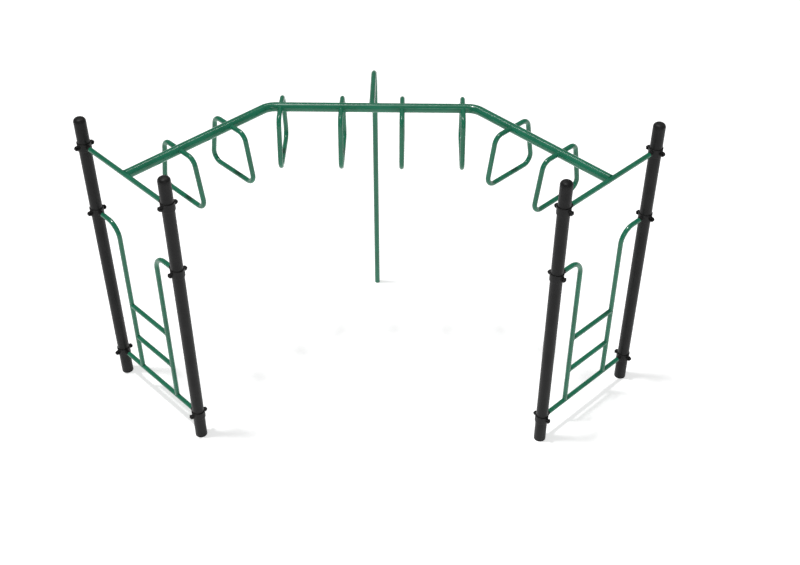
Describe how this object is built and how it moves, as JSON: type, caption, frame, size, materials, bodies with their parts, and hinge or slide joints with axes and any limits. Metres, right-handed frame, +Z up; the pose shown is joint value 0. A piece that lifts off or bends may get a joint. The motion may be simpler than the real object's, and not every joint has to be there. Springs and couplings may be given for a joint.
{
  "type": "monkey bars",
  "caption": "Overhead ladder on clamped posts: a bent overhead beam with trapezoid hand loops, an end ladder between the posts at each end and a bent support pole behind.",
  "frame": {"origin": "on the ground, under the middle of the whole frame", "axes": "+X to the right along the middle run of the beam, +Y to the rear, towards the support pole, +Z up"},
  "size_m": [4.0936, 1.9192, 2.3879],
  "materials": {
    "tube_coat": "gloss dark green powder coat",
    "post_coat": "satin charcoal powder coat",
    "cap_coat": "satin charcoal powder coat on cast aluminium",
    "clamp_coat": "satin black powder coat on cast aluminium",
    "fastener_finish": "black-coated steel"
  },
  "bodies": {
    "root": {"post_left_front": "post_coat", "post_left_rear": "post_coat", "post_right_front": "post_coat", "post_right_rear": "post_coat", "post_cap_left_front": "cap_coat", "post_cap_left_rear": "cap_coat", "post_cap_right_front": "cap_coat", "post_cap_right_rear": "cap_coat", "cap_rivets": "cap_coat", "overhead_beam": "tube_coat", "hand_loop_1": "tube_coat", "hand_loop_2": "tube_coat", "hand_loop_3": "tube_coat", "hand_loop_4": "tube_coat", "hand_loop_5": "tube_coat", "hand_loop_6": "tube_coat", "hand_loop_7": "tube_coat", "hand_loop_8": "tube_coat", "top_bar_left": "tube_coat", "foot_bar_left": "tube_coat", "rung_left_lower": "tube_coat", "rung_left_upper": "tube_coat", "top_bar_right": "tube_coat", "foot_bar_right": "tube_coat", "rung_right_lower": "tube_coat", "rung_right_upper": "tube_coat", "rail_left_front": "tube_coat", "rail_left_rear": "tube_coat", "rail_right_front": "tube_coat", "rail_right_rear": "tube_coat", "centre_support": "tube_coat", "clamp_left_front_top_inner": "clamp_coat", "clamp_left_front_top_outer": "clamp_coat", "clamp_left_front_middle_inner": "clamp_coat", "clamp_left_front_middle_outer": "clamp_coat", "clamp_left_front_bottom_inner": "clamp_coat", "clamp_left_front_bottom_outer": "clamp_coat", "clamp_left_rear_top_inner": "clamp_coat", "clamp_left_rear_top_outer": "clamp_coat", "clamp_left_rear_middle_inner": "clamp_coat", "clamp_left_rear_middle_outer": "clamp_coat", "clamp_left_rear_bottom_inner": "clamp_coat", "clamp_left_rear_bottom_outer": "clamp_coat", "clamp_right_front_top_inner": "clamp_coat", "clamp_right_front_top_outer": "clamp_coat", "clamp_right_front_middle_inner": "clamp_coat", "clamp_right_front_middle_outer": "clamp_coat", "clamp_right_front_bottom_inner": "clamp_coat", "clamp_right_front_bottom_outer": "clamp_coat", "clamp_right_rear_top_inner": "clamp_coat", "clamp_right_rear_top_outer": "clamp_coat", "clamp_right_rear_middle_inner": "clamp_coat", "clamp_right_rear_middle_outer": "clamp_coat", "clamp_right_rear_bottom_inner": "clamp_coat", "clamp_right_rear_bottom_outer": "clamp_coat", "clamp_bolts": "fastener_finish", "clamp_washers": "fastener_finish", "clamp_nuts": "fastener_finish", "tube_rivets": "tube_coat"}
  },
  "joints": []
}
